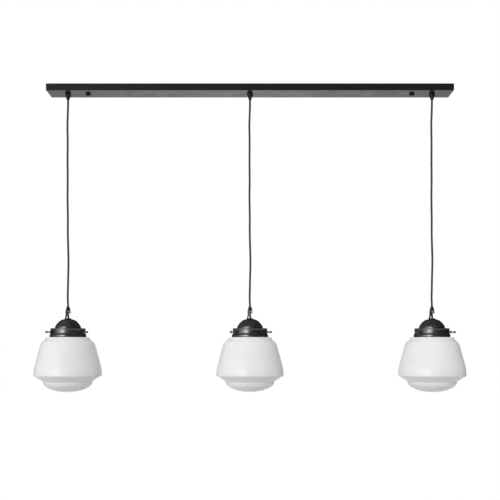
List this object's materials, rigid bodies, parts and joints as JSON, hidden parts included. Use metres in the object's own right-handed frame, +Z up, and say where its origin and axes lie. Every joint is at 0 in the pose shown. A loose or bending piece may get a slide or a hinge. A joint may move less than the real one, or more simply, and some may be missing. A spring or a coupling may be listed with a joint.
{
  "type": "linear island pendant light",
  "caption": "Pendant light with a straight ceiling bar; opal glass school shades hang from it on covered cords, each with a domed metal fitting.",
  "frame": {"origin": "centre of the ceiling plane, at the bar's top rim, midway between the four ceiling-screw holes", "axes": "+X along the bar, to the right as seen from the front; +Z up, out of the ceiling screws' holes into the ceiling; the front is -Y"},
  "size_m": [1.286, 0.201, 0.9093],
  "materials": {
    "bar_coat": "satin powder coat",
    "nut_black": "blackened steel",
    "zinc_steel": "zinc-plated steel",
    "grip_plastic": "moulded, matt",
    "block_plastic": "moulded, matt",
    "terminal_brass": "bare",
    "earth_wire": "green and yellow insulation",
    "cord_fabric": "woven cover",
    "dark_metal": "blackened, satin",
    "opal_glass": "glossy opal white",
    "holder_plastic": "moulded phenolic",
    "lamp_glass": "frosted"
  },
  "bodies": {
    "root": {"ceiling_bar": "bar_coat", "mounting_bracket_left": "zinc_steel", "mounting_bracket_right": "zinc_steel", "cap_nuts": "nut_black", "grip_lock_nuts": "zinc_steel", "terminal_block": "block_plastic", "terminal_screws": "terminal_brass", "stud_nuts": "zinc_steel", "lead_left": "cord_fabric", "lead_centre": "cord_fabric", "lead_right": "cord_fabric", "earth_lead": "earth_wire", "cord_grip_left": "grip_plastic", "cord_grip_centre": "grip_plastic", "cord_grip_right": "grip_plastic"},
    "left_neck": {"cord_neck_left": "cord_fabric"},
    "left_cord": {"cord_left": "cord_fabric", "cord_hook_left": "dark_metal", "hook_screws_left": "dark_metal"},
    "left_head": {"loop_left": "dark_metal", "cord_tail_left": "cord_fabric", "dome_left": "dark_metal", "gallery_left": "dark_metal", "glass_shade_left": "opal_glass", "lampholder_left": "holder_plastic", "holder_fixings_left": "holder_plastic", "bulb_left": "lamp_glass"},
    "left_screw_a": {"thumbscrew_a_left": "dark_metal"},
    "left_screw_b": {"thumbscrew_b_left": "dark_metal"},
    "left_screw_c": {"thumbscrew_c_left": "dark_metal"},
    "centre_neck": {"cord_neck_centre": "cord_fabric"},
    "centre_cord": {"cord_centre": "cord_fabric", "cord_hook_centre": "dark_metal", "hook_screws_centre": "dark_metal"},
    "centre_head": {"loop_centre": "dark_metal", "cord_tail_centre": "cord_fabric", "dome_centre": "dark_metal", "gallery_centre": "dark_metal", "glass_shade_centre": "opal_glass", "lampholder_centre": "holder_plastic", "holder_fixings_centre": "holder_plastic", "bulb_centre": "lamp_glass"},
    "centre_screw_a": {"thumbscrew_a_centre": "dark_metal"},
    "centre_screw_b": {"thumbscrew_b_centre": "dark_metal"},
    "centre_screw_c": {"thumbscrew_c_centre": "dark_metal"},
    "right_neck": {"cord_neck_right": "cord_fabric"},
    "right_cord": {"cord_right": "cord_fabric", "cord_hook_right": "dark_metal", "hook_screws_right": "dark_metal"},
    "right_head": {"loop_right": "dark_metal", "cord_tail_right": "cord_fabric", "dome_right": "dark_metal", "gallery_right": "dark_metal", "glass_shade_right": "opal_glass", "lampholder_right": "holder_plastic", "holder_fixings_right": "holder_plastic", "bulb_right": "lamp_glass"},
    "right_screw_a": {"thumbscrew_a_right": "dark_metal"},
    "right_screw_b": {"thumbscrew_b_right": "dark_metal"},
    "right_screw_c": {"thumbscrew_c_right": "dark_metal"}
  },
  "joints": [
    {"name": "swing_left", "type": "hinge", "parent": "root", "child": "left_neck", "pos_m": [-0.5425, 0, -0.0413], "axis": [1, 0, 0], "range_deg": [-30, 30]},
    {"name": "sway_left", "type": "hinge", "parent": "left_neck", "child": "left_cord", "pos_m": [-0.5425, 0, -0.0473], "axis": [0, 1, 0], "range_deg": [-10, 10]},
    {"name": "tilt_left", "type": "hinge", "parent": "left_cord", "child": "left_head", "pos_m": [-0.5425, 0, -0.671], "axis": [1, 0, 0], "range_deg": [-15, 15]},
    {"name": "unscrew_a_left", "type": "slide", "parent": "left_head", "child": "left_screw_a", "axis": [0.9026, -0.4305, 0], "range_m": [0, 0.004]},
    {"name": "unscrew_b_left", "type": "slide", "parent": "left_head", "child": "left_screw_b", "axis": [-0.0785, 0.9969, 0], "range_m": [0, 0.004]},
    {"name": "unscrew_c_left", "type": "slide", "parent": "left_head", "child": "left_screw_c", "axis": [-0.8241, -0.5664, 0], "range_m": [0, 0.004]},
    {"name": "swing_centre", "type": "hinge", "parent": "root", "child": "centre_neck", "pos_m": [0, 0, -0.0413], "axis": [1, 0, 0], "range_deg": [-30, 30]},
    {"name": "sway_centre", "type": "hinge", "parent": "centre_neck", "child": "centre_cord", "pos_m": [0, 0, -0.0473], "axis": [0, 1, 0], "range_deg": [-10, 10]},
    {"name": "tilt_centre", "type": "hinge", "parent": "centre_cord", "child": "centre_head", "pos_m": [0, 0, -0.671], "axis": [1, 0, 0], "range_deg": [-15, 15]},
    {"name": "unscrew_a_centre", "type": "slide", "parent": "centre_head", "child": "centre_screw_a", "axis": [0.9026, -0.4305, 0], "range_m": [0, 0.004]},
    {"name": "unscrew_b_centre", "type": "slide", "parent": "centre_head", "child": "centre_screw_b", "axis": [-0.0785, 0.9969, 0], "range_m": [0, 0.004]},
    {"name": "unscrew_c_centre", "type": "slide", "parent": "centre_head", "child": "centre_screw_c", "axis": [-0.8241, -0.5664, 0], "range_m": [0, 0.004]},
    {"name": "swing_right", "type": "hinge", "parent": "root", "child": "right_neck", "pos_m": [0.5425, 0, -0.0413], "axis": [1, 0, 0], "range_deg": [-30, 30]},
    {"name": "sway_right", "type": "hinge", "parent": "right_neck", "child": "right_cord", "pos_m": [0.5425, 0, -0.0473], "axis": [0, 1, 0], "range_deg": [-10, 10]},
    {"name": "tilt_right", "type": "hinge", "parent": "right_cord", "child": "right_head", "pos_m": [0.5425, 0, -0.671], "axis": [1, 0, 0], "range_deg": [-15, 15]},
    {"name": "unscrew_a_right", "type": "slide", "parent": "right_head", "child": "right_screw_a", "axis": [0.9026, -0.4305, 0], "range_m": [0, 0.004]},
    {"name": "unscrew_b_right", "type": "slide", "parent": "right_head", "child": "right_screw_b", "axis": [-0.0785, 0.9969, 0], "range_m": [0, 0.004]},
    {"name": "unscrew_c_right", "type": "slide", "parent": "right_head", "child": "right_screw_c", "axis": [-0.8241, -0.5664, 0], "range_m": [0, 0.004]}
  ]
}
